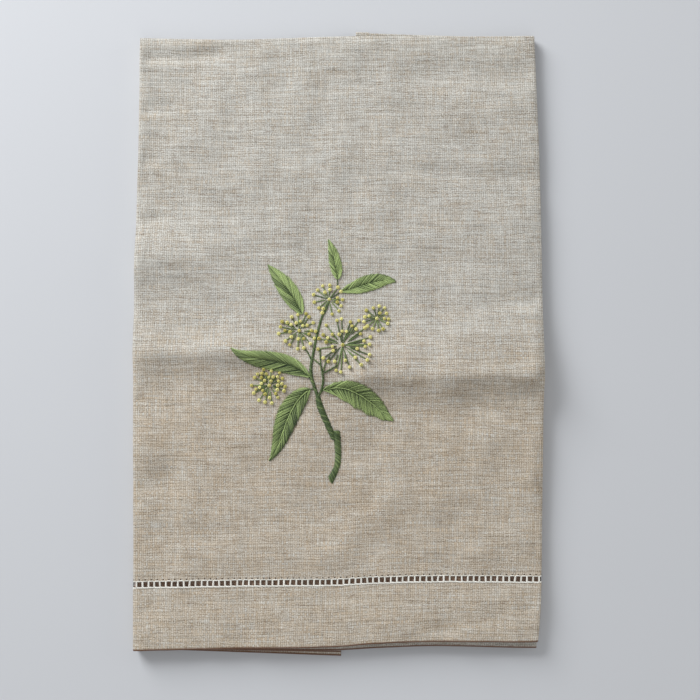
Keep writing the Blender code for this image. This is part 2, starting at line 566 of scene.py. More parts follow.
@dataclass(frozen=True)
class Strand:
    """How a length of thread is shaped: its half width, half height and facets."""

    half_width: float
    half_height: float
    sides: int = 6
    taper: float = 0.35

    def lay(self, mesh: FlatMesh, path: Array, shade: Any, swell: Array | None = None) -> None:
        """Lays one closed length of thread along a path.

        Args:
            mesh: what the thread is added to.
            path: rows of (across, along, above) for the thread's middle.
            shade: the thread's tone, from 0 to 1, or one for each row of the path.
            swell: how thick it is at each row of the path, or None for drawn-in ends.
        """
        count = len(path)
        if swell is None:
            share = np.linspace(0, 1, count)
            swell = 1 - (1 - self.taper) * np.abs(2 * share - 1) ** 4
        run = unit_rows(np.gradient(path, axis=0))
        side = unit_rows(np.column_stack([leftward(run), np.zeros(count)]))
        up = np.cross(run, side)
        up *= np.where(up[:, 2:] < 0, -1.0, 1.0)
        turn = np.arange(self.sides) * 2 * math.pi / self.sides
        wide = side[:, None] * (self.half_width * swell)[:, None, None] * np.cos(turn)[None, :, None]
        high = up[:, None] * (self.half_height * swell)[:, None, None] * np.sin(turn)[None, :, None]
        rings = (path[:, None] + wide + high).reshape(-1, 3)
        faces: list[Sequence[int]] = []
        for low in range(0, (count - 1) * self.sides, self.sides):
            for corner in range(self.sides):
                after = (corner + 1) % self.sides
                next_row = low + self.sides
                faces.append((low + corner, low + after, next_row + after, next_row + corner))
        faces.append(tuple(reversed(range(self.sides))))
        faces.append(tuple(range((count - 1) * self.sides, count * self.sides)))
        steps = np.linalg.norm(np.diff(path, axis=0), axis=1)
        run_mm = np.repeat(np.concatenate([[0.0], np.cumsum(steps)]) / MM, self.sides)
        tone = np.repeat(np.broadcast_to(np.clip(shade, 0.0, 1.0), count), self.sides)
        mesh.add(rings, faces, shade=tone, run_mm=run_mm, around=np.tile(turn, count))


# ---- The cloth ----


def steps_between(low: float, high: float, size: float) -> Array:
    """Even places from low to high, about a size apart, with both ends."""
    return np.linspace(low, high, max(2, round((high - low) / size) + 1))


@dataclass(frozen=True)
class Cloth:
    """The linen: its main panel, a hem at each end and a narrow hem down each side.

    The rims are how far inside an edge the evenly spaced lines of the grid begin, and the
    ledge is where the cloth steps down from a side hem to its single thickness.
    """

    plan: FoldPlan
    hem_depth: float = 0.0268
    back_hem_depth: float = 0.0236
    open_row: float = 0.0024
    side_hem: float = 0.0060
    hem_thickness: float = 0.00100
    face_step: float = 0.0015
    side_step: float = 0.0022
    hidden_step: float = 0.0060
    turn_steps: int = 8
    edge_steps: tuple[float, ...] = (0.0, 0.08, 0.3, 0.65, 1.0)
    side_rim: float = 0.0010
    row_rim: float = 0.0008
    hem_rim: float = 0.0012
    half_ledge: float = 0.0003
    bridge_overlap: float = 0.0004
    bridge_lines: int = 5
    sharpest_edge: float = 0.04

    @property
    def back_edge(self) -> float:
        """Along, at the edge of the back hem."""
        return self.plan.length

    def edge_places(self, edge: float, inward: int) -> Array:
        """Places that round off an edge, from the edge inwards."""
        return edge + inward * np.array(self.edge_steps) * self.hem_thickness / 2

    def across_places(self) -> Array:
        """Where the grid's lines run along the towel, close together on the face.

        Returns:
            The lines' places across, from left to right.
        """
        plan = self.plan
        left_hem, right_hem = plan.left_end + self.side_hem, plan.right_end - self.side_hem
        turn = plan.face_half + plan.side_turn
        groups = (
            self.edge_places(plan.left_end, 1),
            steps_between(plan.left_end + self.side_rim, left_hem - self.half_ledge, self.side_step),
            steps_between(left_hem + self.half_ledge, -turn, self.hidden_step),
            np.linspace(-turn, -plan.face_half, self.turn_steps + 1),
            steps_between(-plan.face_half, plan.face_half, self.face_step),
            np.linspace(plan.face_half, turn, self.turn_steps + 1),
            steps_between(turn, right_hem - self.half_ledge, self.hidden_step),
            steps_between(right_hem + self.half_ledge, plan.right_end - self.side_rim, self.side_step),
            self.edge_places(plan.right_end, -1),
        )
        return np.unique(np.round(np.concatenate(groups), 6))

    def panel_places(self) -> Array:
        """Where the main panel's cross lines lie, close together on the face.

        Returns:
            The lines' places along, from the front row to the back row.
        """
        plan = self.plan
        front = self.hem_depth + self.open_row
        back = self.back_edge - self.back_hem_depth - self.open_row
        groups = (
            front + np.array(self.edge_steps) * plan.thickness / 2,
            steps_between(front + self.row_rim, plan.panel, self.face_step),
            np.linspace(plan.panel, plan.panel + plan.end_turn, self.turn_steps + 1),
            steps_between(plan.panel + plan.end_turn, back - self.row_rim, self.hidden_step),
            back - np.array(self.edge_steps) * plan.thickness / 2,
        )
        return np.unique(np.round(np.concatenate(groups), 6))

    def hem_places(self, low: float, high: float) -> Array:
        """Where a hem's cross lines lie, with more of them where its two sides are rounded.

        Args:
            low: along, at the hem's lower side.
            high: along, at its higher side.

        Returns:
            The lines' places along, going up.
        """
        groups = (
            self.edge_places(low, 1),
            steps_between(low + self.hem_rim, high - self.hem_rim, self.face_step),
            self.edge_places(high, -1),
        )
        return np.unique(np.round(np.concatenate(groups), 6))

    def thickness_at(self, across: Array, hemmed: bool) -> Array:
        """How thick the cloth is, as the side hems are folded over too.

        Args:
            across: places across the open towel.
            hemmed: whether they are in one of the hems at the ends.

        Returns:
            The thickness at each place.
        """
        single = self.hem_thickness if hemmed else self.plan.thickness
        inward = np.minimum(across - self.plan.left_end, self.plan.right_end - across)
        side = smooth((self.side_hem + self.half_ledge - inward) / (2 * self.half_ledge))
        return single + (self.hem_thickness - single) * side

    def add_sheet(self, mesh: FlatMesh, across: Array, along: Array, hemmed: bool) -> None:
        """Adds a closed sheet with rounded edges.

        Args:
            mesh: what the sheet is added to.
            across: where its lines along the towel are.
            along: where its cross lines are.
            hemmed: whether it is as thick as a hem.
        """
        wide, high = np.meshgrid(across, along, indexing="ij")
        thick = self.thickness_at(wide, hemmed)
        from_edge = np.minimum(
            np.minimum(wide - across[0], across[-1] - wide),
            np.minimum(high - along[0], along[-1] - high),
        )
        inset = np.clip(1 - from_edge / (thick / 2), 0, 1)
        half = thick / 2 * np.sqrt(np.maximum(1 - inset**2, self.sharpest_edge**2))
        mesh.add(*slab(np.dstack([wide, high, half]), np.dstack([wide, high, -half])))

    def build(self) -> bpy.types.Object:
        """Makes the whole cloth as one piece.

        Returns:
            The cloth, whose side hems run on as bridges past the ends of both open rows.
        """
        mesh = FlatMesh()
        across = self.across_places()
        self.add_sheet(mesh, across, self.panel_places(), hemmed=False)
        back_inner = self.back_edge - self.back_hem_depth
        for low, high in ((0.0, self.hem_depth), (back_inner, self.back_edge)):
            self.add_sheet(mesh, across, self.hem_places(low, high), hemmed=True)
        over, lines = self.bridge_overlap, self.bridge_lines
        for low in (self.hem_depth, self.back_edge - (self.back_hem_depth + self.open_row)):
            bridge = np.linspace(low - over, low + self.open_row + over, lines)
            for near, inward in ((self.plan.left_end, 1), (self.plan.right_end, -1)):
                strip = np.sort(near + inward * np.linspace(over, self.side_hem, lines))
                self.add_sheet(mesh, strip, bridge, hemmed=True)
        return mesh.build("linen_cloth", self.plan)


# ---- The hemstitch and the side hems' stitching ----


@dataclass(frozen=True)
class OpenRow:
    """An open row: where its hem's inner edge is, and which way along the row lies from it."""

    inner: float
    outward: int


@dataclass(frozen=True)
class Hemstitch:
    """The open rows at both hems: wrapped posts between two lines of white overcasting.

    A foot is the stitch on the hem's inner edge, and a head is the thinner one on the edge of
    the single cloth. Both lie over the edge by their inset and rise by their arch.
    """

    cloth: Cloth
    pitch: float = 0.0026
    post: Strand = Strand(0.00043, 0.00036, sides=7, taper=1.0)
    foot: Strand = Strand(0.00035, 0.00029, sides=6, taper=0.5)
    head: Strand = Strand(0.00030, 0.00025, sides=5, taper=0.5)
    turns: int = 6
    post_sway: float = 0.00007
    post_start: float = 0.0001
    post_overlap: float = 0.0003
    foot_inset: float = 0.00022
    foot_slant: float = 0.00022
    foot_sink: float = 0.00012
    foot_arch: float = 0.00018
    foot_press: float = 0.00022
    head_inset: float = 0.00004
    head_bow: float = 0.00022
    head_sink: float = 0.00004
    head_arch: float = 0.00014
    stitch_steps: int = 7
    seed: int = 7

    def columns(self) -> Array:
        """Where the posts stand across the towel, between the side hems."""
        plan, hem = self.cloth.plan, self.cloth.side_hem
        count = int((plan.right_end - plan.left_end - 2 * hem) / self.pitch)
        middle = (plan.right_end + plan.left_end) / 2
        return middle + (np.arange(count + 1) - count / 2) * self.pitch

    def first_opening(self) -> float:
        """How far the middle of an opening is past a whole number of pitches, across."""
        past = self.columns()[0] + self.pitch / 2
        return float(past % self.pitch) - self.pitch / 2

    def lay_post(self, work: Needlework, column: float, row: OpenRow) -> None:
        """Lays one wrapped bundle of threads across the open row.

        Args:
            work: what the thread is added to.
            column: where the post stands, across.
            row: the row it is in.
        """
        lean, shift = work.draw.normal(0, self.post_sway, 2)
        share = np.linspace(0, 1, 2 * self.turns + 1)
        reach = self.cloth.open_row + self.post_overlap
        across = column + shift + lean * (share - 0.5) * 2
        along = row.inner + row.outward * (share * reach - self.post_start)
        half_cloth, half_hem = self.cloth.plan.thickness / 2, self.cloth.hem_thickness / 2
        above = half_hem * 0.55 * (1 - share) + half_cloth * 0.4 * share
        wrap = np.where(np.arange(len(share)) % 2 == 0, 0.86, 1.08) * work.draw.uniform(0.92, 1.08)
        self.post.lay(work, np.column_stack([across, along, above]), work.draw.uniform(0.35, 1), wrap)

    def lay_foot(self, work: Needlework, column: float, row: OpenRow) -> None:
        """Lays one overcast stitch along the hem's inner edge, from a post to the next.

        It is pressed into the cloth where it goes round a side fold.

        Args:
            work: what the thread is added to.
            column: where the first of the two posts stands, across.
            row: the row it is in.
        """
        share = np.linspace(-0.1, 1.12, self.stitch_steps)
        across = column + share * self.pitch
        slant = (share - 0.5) * self.foot_slant + work.draw.normal(0, 0.00004)
        along = row.inner - row.outward * (self.foot_inset + slant)
        surface = self.cloth.hem_thickness / 2 - self.foot_sink
        above = surface + self.foot_arch * np.sin(np.clip(share, 0, 1) * math.pi)
        plan = self.cloth.plan
        from_fold = (np.abs(across) - plan.face_half - plan.side_turn / 2) / plan.side_turn
        above = above - self.foot_press * np.exp(-(from_fold**2))
        self.foot.lay(work, np.column_stack([across, along, above]), work.draw.uniform(0.45, 1))

    def lay_head(self, work: Needlework, column: float, row: OpenRow) -> None:
        """Lays the stitch that holds the single cloth's edge over one opening.

        Args:
            work: what the thread is added to.
            column: where the first of the two posts stands, across.
            row: the row it is in.
        """
        share = np.linspace(0.06, 0.94, self.stitch_steps)
        across = column + share * self.pitch + work.draw.normal(0, 0.00005)
        arc = np.sin(share * math.pi)
        bow = arc * work.draw.uniform(0.0, self.head_bow)
        outer = row.inner + row.outward * self.cloth.open_row
        along = outer + row.outward * (self.head_inset + bow)
        surface = self.cloth.plan.thickness / 2 - self.head_sink
        above = surface + self.head_arch * arc * work.draw.uniform(0.5, 1.1)
        self.head.lay(work, np.column_stack([across, along, above]), work.draw.uniform(0.1, 0.9))

    def build(self) -> bpy.types.Object:
        """Makes the white thread of both rows as one piece."""
        work = Needlework(draw=np.random.default_rng(self.seed))
        back_inner = self.cloth.back_edge - self.cloth.back_hem_depth
        for row in (OpenRow(self.cloth.hem_depth, 1), OpenRow(back_inner, -1)):
            for column in self.columns():
                self.lay_post(work, column, row)
                self.lay_foot(work, column, row)
                self.lay_head(work, column, row)
        return work.build("hemstitch_thread", self.cloth.plan)


@dataclass(frozen=True)
class SideStitching:
    """A line of plain stitches that holds the narrow hem down each long side."""

    cloth: Cloth
    pitch: float = 0.0029
    inset: float = 0.0048
    margin: float = 0.002
    arch: float = 0.00006
    thread: Strand = Strand(0.00017, 0.00014, sides=5, taper=0.5)
    seed: int = 3

    def build(self) -> bpy.types.Object:
        """Makes both lines as one piece."""
        work = Needlework(draw=np.random.default_rng(self.seed))
        plan = self.cloth.plan
        count = int((self.cloth.back_edge - 2 * self.margin) / self.pitch)
        share = np.linspace(0.1, 0.9, 5)
        above = self.cloth.hem_thickness / 2 + self.arch * np.sin(share * math.pi)
        for across in (plan.left_end + self.inset, plan.right_end - self.inset):
            for stitch in range(count):
                along = self.margin + (stitch + share) * self.pitch
                path = np.column_stack([np.full(len(share), across), along, above])
                self.thread.lay(work, path, work.draw.uniform(0.3, 0.8))
        return work.build("side_hem_stitching", plan)


# ---- The embroidered sprig ----


class Midrib(Enum):
    """How a leaf's middle line is worked."""

    GROOVE = "the two halves meet in a groove"
    RAISED = "long stitches lie over it"


@dataclass(frozen=True)
class Half:
    """One half of a leaf: its width in millimetres and its tones, from 0 dark to 1 light."""

    width: float
    inner_tone: float
    rim_tone: float
    ruffle: float = 0.0


@dataclass(frozen=True)
class Leaf:
    """One worked leaf, in millimetres from the sprig's foot.

    Its two halves are slanting stitches from the middle line out to the edge, over a raised bed
    in the darkest tone, which is painted shade for the grooves between the stitches. The middle
    line leaves the base and comes to the tip pulled to the left by shares of the length. The
    bed's rows are (share of the half's width, height).
    """

    name: str
    base: tuple[float, float]
    tip: tuple[float, float]
    left: Half
    right: Half
    leave: float = 0.0
    arrive: float = 0.0
    belly: float = 0.42
    slant: float = 0.20
    midrib: Midrib = Midrib.GROOVE
    pitch: float = 0.31
    roughness: float = 0.11
    bow: float = 0.12
    stitch_rise: float = 0.24
    stitch_crown: float = 0.30
    bed_rise: float = 0.23
    bed: tuple[tuple[float, float], ...] = (
        (0.9, 0.04), (0.5, 0.24), (0.08, 0.12), (-0.08, 0.12), (-0.5, 0.24), (-0.9, 0.04)
    )
    bends_at: tuple[float, float] = (0.36, 0.74)
    fullness: float = 0.92
    ruffle_turn: float = 31.0
    tone_drop: float = 0.06
    tone_spread: float = 0.14
    glint: float = 0.34
    glint_share: float = 0.28
    seed_step: int = 31
    thread: Strand = Strand(0.00020, 0.00021, sides=6, taper=0.3)

    def vein(self, share: Array) -> Array:
        """Points on the leaf's middle line.

        Args:
            share: how far they are from the base to the tip, from 0 to 1.

        Returns:
            Rows of (x, y), in millimetres.
        """
        base, tip = np.array(self.base), np.array(self.tip)
        run = tip - base
        side = np.array([-run[1], run[0]])
        near = base + self.bends_at[0] * run + self.leave * side
        far = base + self.bends_at[1] * run + self.arrive * side
        past = share[:, None]
        left = 1 - past
        return left**3 * base + 3 * left**2 * past * near + 3 * left * past**2 * far + past**3 * tip

    def reach(self, share: Array, half: Half) -> Array:
        """How far a half's edge is from the middle line.

        Args:
            share: places from the base to the tip, from 0 to 1.
            half: the half of the leaf.

        Returns:
            The distance at each place, in millimetres.
        """
        bulge = np.sin(math.pi * np.clip(share, 0, 1) ** (math.log(0.5) / math.log(self.belly)))
        wave = 1 + half.ruffle * np.sin(share * self.ruffle_turn) * share
        return half.width * np.maximum(bulge, 0) ** self.fullness * wave

    def out_from(self, share: Array, side: int) -> Array:
        """The direction straight out from the middle line: side is 1 on the left, else -1."""
        return side * leftward(unit_rows(self.vein(share + 0.01) - self.vein(share - 0.01)))

    def lay_shade_bed(self, work: Needlework) -> None:
        """Lays the bed under the stitches, in painted shade, so that no linen shows between.

        Args:
            work: what the padding is added to.
        """
        share = np.linspace(0.015, 0.985, 26)
        vein, left = self.vein(share), self.out_from(share, 1)
        lines = []
        for part, above in self.bed:
            half = self.left if part > 0 else self.right
            across = vein + left * (part * self.reach(share, half))[:, None]
            height = np.full(len(share), above + self.bed_rise)
            lines.append(np.column_stack([work.foot + across, height]) * MM)
        top = np.stack(lines, axis=1)
        spots, faces = slab(top, top * (1, 1, 0))
        # shade 0 is the darkest green: painted shade in the grooves between the stitches
        work.add(spots, faces, shade=0.0, run_mm=0.0, around=0.0)

    def lay_half(self, work: Needlework, side: int) -> None:
        """Works one half of the leaf, from its base to its tip.

        Args:
            work: what the stitches are added to.
            side: 1 for the left half, or -1 for the right.
        """
        half = self.left if side > 0 else self.right
        length = float(np.linalg.norm(np.subtract(self.tip, self.base)))
        lean = math.atan2(half.width, self.slant * length)
        count = round(length * math.sin(lean) / self.pitch)
        step = np.linspace(0, 1, 8)
        for share in (np.arange(count) + 0.5) / count:
            outer = np.array([share + work.draw.normal(0, 0.002)])
            inner = np.maximum(outer - self.slant * work.draw.uniform(0.90, 1.05), 0.0)
            rim = self.reach(outer, half)[:, None] + work.draw.normal(0, self.roughness)
            end = self.vein(outer) + self.out_from(outer, side) * np.maximum(rim, 0.22)
            start = self.vein(inner) - self.out_from(inner, side) * work.draw.uniform(0.0, 0.10)
            line = start + (end - start) * step[:, None]
            line += self.out_from(outer, side) * (self.bow * np.sin(step * math.pi))[:, None]
            crown = self.stitch_crown * np.sin((step * 0.92 + 0.04) * math.pi) ** 0.7
            above = self.stitch_rise + crown + work.draw.uniform(0, 0.10)
            tone = half.inner_tone + (half.rim_tone - half.inner_tone) * step
            tone = tone + work.draw.normal(-self.tone_drop, self.tone_spread)
            tone = tone + self.glint * (work.draw.random() < self.glint_share)
            self.thread.lay(work, np.column_stack([work.foot + line, above]) * MM, tone)

    def lay_midrib(self, work: Needlework) -> None:
        """Works long overlapping stitches along the middle line.

        Args:
            work: what the stitches are added to.
        """
        step = np.linspace(0, 1, 7)
        for start in np.arange(0.01, 0.84, 0.065):
            share = start + step * 0.13
            line = self.vein(share) + self.out_from(share, 1) * work.draw.normal(0, 0.12)
            above = 0.40 + 0.18 * np.sin(step * math.pi)
            path = np.column_stack([work.foot + line, above]) * MM
            self.thread.lay(work, path, 0.80 + work.draw.normal(0, 0.12))

    def build(self, sprig: "Sprig") -> bpy.types.Object:
        """Makes the leaf as one piece.

        Args:
            sprig: the sprig that it grows on.

        Returns:
            The leaf.
        """
        draw = np.random.default_rng(len(self.name) * self.seed_step)
        work = Needlework(draw=draw, foot=np.array(sprig.foot))
        self.lay_shade_bed(work)
        for side in (1, -1):
            self.lay_half(work, side)
        if self.midrib is Midrib.RAISED:
            self.lay_midrib(work)
        return work.build(f"leaf_{self.name}", sprig.plan)


@dataclass(frozen=True)
class StemPoint:
    """A place on a stem and the stem's width there, in millimetres from the sprig's foot."""

    x: float
    y: float
    width: float


@dataclass(frozen=True)
class Stem:
    """A stem or twig worked in slanting stitches that overlap like the strands of a rope."""

    points: tuple[StemPoint, ...]
    tone: float = 0.02
    spacing: float = 0.42
    lean: float = 1.3
    rise: float = 0.16
    thread: Strand = Strand(0.00023, 0.00020, sides=6, taper=0.35)

    def lay(self, work: Needlework) -> None:
        """Works the stem from its lower end up.

        Args:
            work: what the stitches are added to.
        """
        corners = np.array([(point.x, point.y, point.width) for point in self.points])
        gaps = np.linalg.norm(np.diff(corners[:, :2], axis=0), axis=1)
        at = np.concatenate([[0.0], np.cumsum(gaps)])
        step = np.linspace(0, 1, 7)
        for start in np.arange(-0.5 * self.lean, at[-1] - 0.2, self.spacing):
            width = float(smooth_curve(at, corners[:, 2], np.array([start]))[0])
            place = np.clip(start + step * (self.lean + 0.30 * width), 0, at[-1])
            middle, before, after = (
                np.column_stack([smooth_curve(at, corners[:, axis], spot) for axis in (0, 1)])
                for spot in (place, np.clip(place - 0.3, 0, at[-1]), np.clip(place + 0.3, 0, at[-1]))
            )
            half = max(width / 2 - self.thread.half_width / MM, 0.06) * work.draw.uniform(0.9, 1.1)
            aside = leftward(unit_rows(after - before)) * ((step * 2 - 1) * half)[:, None]
            crown = (0.14 + 0.10 * width) * np.sin(step * math.pi) ** 0.8
            above = self.rise + crown + work.draw.uniform(0, 0.05)
            # a quarter of the stitches get a painted highlight, 0.22 lighter, like the leaves' glint
            tone = self.tone + work.draw.normal(0, 0.10) + 0.22 * (work.draw.random() < 0.25)
            self.thread.lay(work, np.column_stack([work.foot + middle + aside, above]) * MM, tone)


@dataclass(frozen=True)
class FlowerHead:
    """A round head of knots on spokes, in millimetres from the sprig's foot."""

    name: str
    centre: tuple[float, float]
    radius: float
    spokes: int
    knots: int
    packed: bool = False
    lean: tuple[float, float] = (0.0, 0.0)


@dataclass(frozen=True)
class Knot:
    """A French knot: thread wound round itself and drawn down into a small dome."""

    across: float = 0.00086
    tall: float = 0.00080
    rise: float = 0.00042
    turns: float = 2.2
    steps: int = 17
    thread: Strand = Strand(0.00033, 0.00030, sides=6, taper=0.55)

    def lay(self, work: Needlework, spot: Array, size: float) -> None:
        """Winds one knot: a turn and more on the cloth, and then the rest drawn in over it.

        Args:
            work: what the knot is added to.
            spot: where it is, in millimetres from the work's foot.
            size: how large it is, as a share of the usual size.
        """
        share = np.linspace(0, 1, self.steps)
        turn = work.draw.uniform(0, 2 * math.pi) + share * self.turns * 2 * math.pi
        wide = (self.across - self.thread.half_width) * size
        drawn_in = np.where(share < 0.5, 1.0, 1.0 - 1.6 * (share - 0.5))
        radius = wide * drawn_in * (1 + 0.06 * np.sin(turn * 2))
        above = (self.rise + self.tall * 0.62 * smooth((share - 0.25) / 0.75)) * size
        circle = np.column_stack([radius * np.cos(turn), radius * np.sin(turn)])
        path = np.column_stack([(work.foot + spot) * MM + circle, above])
        self.thread.lay(work, path, work.draw.uniform(0.1, 1.0))


@dataclass(frozen=True)
class Sprig:
    """The sprig: a stem with twigs, six leaves and five flower heads.

    Its foot is in millimetres on the open towel. The pulls are how far along its spoke, from
    the head's middle, a stitch to an outer or an inner knot begins.
    """

    plan: FoldPlan
    foot: tuple[float, float] = (-2.2, 72.2)
    seed: int = 19
    spoke: Strand = Strand(0.00027, 0.00023, sides=6, taper=0.6)
    knot: Knot = Knot()
    knot_gap: float = 1.9
    spread_rounds: int = 30
    spread_share: float = 0.25
    ring_sway: float = 0.25
    ring_reach: tuple[float, float] = (0.84, 1.04)
    inner_sway: float = 0.2
    inner_turns: float = 1.62
    inner_least: float = 0.42
    packed_least: float = 0.38
    inner_most: float = 0.74
    shortest_spoke: float = 1.2
    outer_ring: float = 0.78
    outer_pull: tuple[float, float] = (0.0, 0.30)
    inner_pull: tuple[float, float] = (0.45, 0.7)
    leaves: tuple[Leaf, ...] = (
        Leaf("top", (2.0, 88.4), (-2.4, 106.4), Half(2.4, 0.48, 0.66), Half(3.1, 0.68, 0.96),
             leave=-0.01, arrive=-0.04, belly=0.36, slant=0.24),
        Leaf("upper_right", (3.2, 83.0), (27.7, 87.1), Half(3.9, 0.44, 0.72), Half(3.7, 0.68, 0.94),
             leave=0.0, arrive=0.16, belly=0.49, slant=0.20),
        Leaf("upper_left", (-13.6, 73.0), (-29.1, 95.3), Half(4.3, 0.44, 0.66), Half(4.1, 0.70, 1.00),
             leave=-0.07, arrive=-0.03, belly=0.40, slant=0.34),
        Leaf("mid_left", (-10.2, 45.2), (-44.4, 58.2), Half(4.5, 0.26, 0.50), Half(4.2, 0.44, 0.80),
             leave=-0.17, arrive=0.13, belly=0.41, slant=0.22),
        Leaf("lower_left", (-10.0, 39.9), (-28.2, 8.4), Half(4.6, 0.72, 0.10), Half(5.5, 0.18, 0.76),
             leave=-0.18, arrive=0.08, belly=0.35, slant=0.17, midrib=Midrib.RAISED, pitch=0.36),
        Leaf("lower_right", (-4.1, 39.6), (26.6, 25.5), Half(4.8, 0.42, 0.66),
             Half(6.0, 0.42, 1.00, ruffle=0.12), leave=0.29, arrive=0.03, belly=0.45, slant=0.15,
             midrib=Midrib.RAISED, pitch=0.35),
    )
    stems: tuple[Stem, ...] = (
        Stem((StemPoint(-1.5, -0.6, 4.0), StemPoint(1.1, 4.3, 3.4), StemPoint(2.2, 8.7, 3.3),
              StemPoint(2.1, 15.2, 3.6), StemPoint(1.7, 18.8, 3.8), StemPoint(1.6, 21.6, 3.3))),
        Stem((StemPoint(0.5, 17.4, 2.8), StemPoint(-1.6, 22.8, 3.2), StemPoint(-3.6, 27.4, 3.4),
              StemPoint(-5.2, 31.1, 3.5), StemPoint(-6.0, 33.9, 3.1), StemPoint(-6.5, 37.2, 2.1))),
        Stem((StemPoint(-6.4, 36.0, 2.0), StemPoint(-8.0, 40.7, 1.9), StemPoint(-9.2, 44.3, 2.0),
              StemPoint(-9.6, 47.9, 1.9), StemPoint(-9.3, 51.6, 1.7), StemPoint(-8.5, 56.0, 1.6),
              StemPoint(-7.7, 60.4, 1.5), StemPoint(-6.7, 65.0, 1.5), StemPoint(-5.0, 71.2, 1.3),
              StemPoint(-2.9, 75.4, 1.2), StemPoint(-2.0, 78.6, 1.1))),
        Stem((StemPoint(-6.3, 36.8, 1.4), StemPoint(-4.8, 40.1, 1.5), StemPoint(-4.2, 44.3, 1.4),
              StemPoint(-4.6, 47.0, 1.2), StemPoint(-5.3, 50.6, 1.0), StemPoint(-5.6, 57.4, 0.9))),
        Stem((StemPoint(-4.3, 46.8, 0.9), StemPoint(-1.1, 48.4, 1.0), StemPoint(1.9, 50.3, 0.8))),
        Stem((StemPoint(-4.3, 47.4, 0.8), StemPoint(-3.4, 50.6, 0.9), StemPoint(-1.5, 54.1, 0.7))),
        Stem((StemPoint(-9.4, 52.6, 0.9), StemPoint(-11.0, 56.0, 0.9), StemPoint(-12.6, 58.0, 0.7))),
        Stem((StemPoint(-9.1, 53.6, 0.9), StemPoint(-7.5, 52.3, 0.9), StemPoint(-5.5, 50.4, 0.8))),
        Stem((StemPoint(1.9, 85.4, 0.6), StemPoint(1.8, 87.2, 0.7), StemPoint(2.0, 89.4, 0.9))),
        Stem((StemPoint(-5.3, 38.4, 1.0), StemPoint(-4.4, 39.4, 1.2), StemPoint(-2.6, 40.6, 1.2))),
        Stem((StemPoint(-9.0, 43.4, 1.0), StemPoint(-10.2, 45.0, 1.1), StemPoint(-11.8, 47.2, 0.8))),
        Stem((StemPoint(-7.8, 40.0, 0.7), StemPoint(-9.0, 40.0, 0.8), StemPoint(-10.6, 39.4, 0.9))),
    )
    heads: tuple[FlowerHead, ...] = (
        FlowerHead("top", (-1.9, 79.5), 6.8, 13, 19),
        FlowerHead("left", (-14.9, 65.6), 8.2, 15, 29, lean=(-0.3, -0.2)),
        FlowerHead("middle", (4.0, 59.2), 11.9, 19, 37, lean=(1.4, 0.1)),
        FlowerHead("right", (19.0, 70.9), 5.7, 13, 17),
        FlowerHead("low", (-27.9, 41.6), 7.6, 14, 34, packed=True),
    )

    def spots_of(self, head: FlowerHead, draw: Chance) -> Array:
        """Where a head's knots sit: an outer ring, the rest further in and one in the middle.

        Args:
            head: the flower head.
            draw: the seeded chance behind the hand's small errors.

        Returns:
            Rows of (x, y) in millimetres from the sprig's foot.
        """
        outer, inner = head.spokes, head.knots - head.spokes - 1
        sway, inner_sway = self.ring_sway, self.inner_sway
        turn = (np.arange(outer) + draw.uniform(-sway, sway, outer)) * 2 * math.pi / outer
        reach = head.radius * draw.uniform(*self.ring_reach, outer)
        inner_turn = (np.arange(inner) + draw.uniform(-inner_sway, inner_sway, inner)) * 2 * math.pi
        inner_turn = inner_turn / inner * self.inner_turns
        least = self.packed_least if head.packed else self.inner_least
        inner_reach = head.radius * draw.uniform(least, self.inner_most, inner)
        turns = np.concatenate([turn, inner_turn, [0.0]])
        reaches = np.concatenate([reach, inner_reach, [0.02 * head.radius]])
        spots = np.column_stack([np.cos(turns), np.sin(turns)]) * reaches[:, None]
        spots[:-1] += head.lean
        return self.spread(spots) + np.array(head.centre)

    def spread(self, spots: Array) -> Array:
        """Pushes spots apart until they are about a knot's width from each other.

        Args:
            spots: rows of (x, y), in millimetres.

        Returns:
            The spots in their new places.
        """
        spots = spots.copy()
        for _ in range(self.spread_rounds):
            gap = spots[:, None] - spots[None]
            far = np.linalg.norm(gap, axis=2)
            np.fill_diagonal(far, np.inf)
            push = np.maximum(self.knot_gap - far, 0)[:, :, None] * gap / far[:, :, None]
            spots += self.spread_share * push.sum(axis=1)
        return spots

    def lay_spoke(self, work: Needlework, start: Array, end: Array) -> None:
        """Lays one straight stitch.

        Args:
            work: what the stitch is added to.
            start: its end near the head's middle, in millimetres from the work's foot.
            end: its end at the knot.
        """
        step = np.linspace(0, 1, 6)[:, None]
        line = work.foot + start + (end - start) * step + work.draw.normal(0, 0.05, 2)
        above = (0.20 + 0.20 * np.sin(step[:, 0] * math.pi)) * MM
        self.spoke.lay(work, np.column_stack([line * MM, above]), work.draw.uniform(0.0, 0.45))

    def build(self) -> dict[str, list[bpy.types.Object]]:
        """Makes every piece of the sprig.

        Returns:
            The pieces worked in green and the pieces worked in yellow.
        """
        draw, foot = np.random.default_rng(self.seed), np.array(self.foot)
        stems, spokes, knots = (Needlework(draw=draw, foot=foot) for _ in range(3))
        for stem in self.stems:
            stem.lay(stems)
        for head in self.heads:
            centre = np.array(head.centre)
            for spot in self.spots_of(head, draw):
                away = np.linalg.norm(spot - centre)
                if away > self.shortest_spoke:
                    on_ring = away > head.radius * self.outer_ring
                    pull = draw.uniform(*(self.outer_pull if on_ring else self.inner_pull))
                    self.lay_spoke(spokes, centre + (spot - centre) * pull, spot)
                self.knot.lay(knots, spot, draw.uniform(0.86, 1.1))
        green = [leaf.build(self) for leaf in self.leaves]
        green.append(stems.build("stem_and_twigs", self.plan))
        green.append(spokes.build("flower_spokes", self.plan))
        return {"green": green, "yellow": [knots.build("flower_knots", self.plan)]}


# ---- Finishes ----


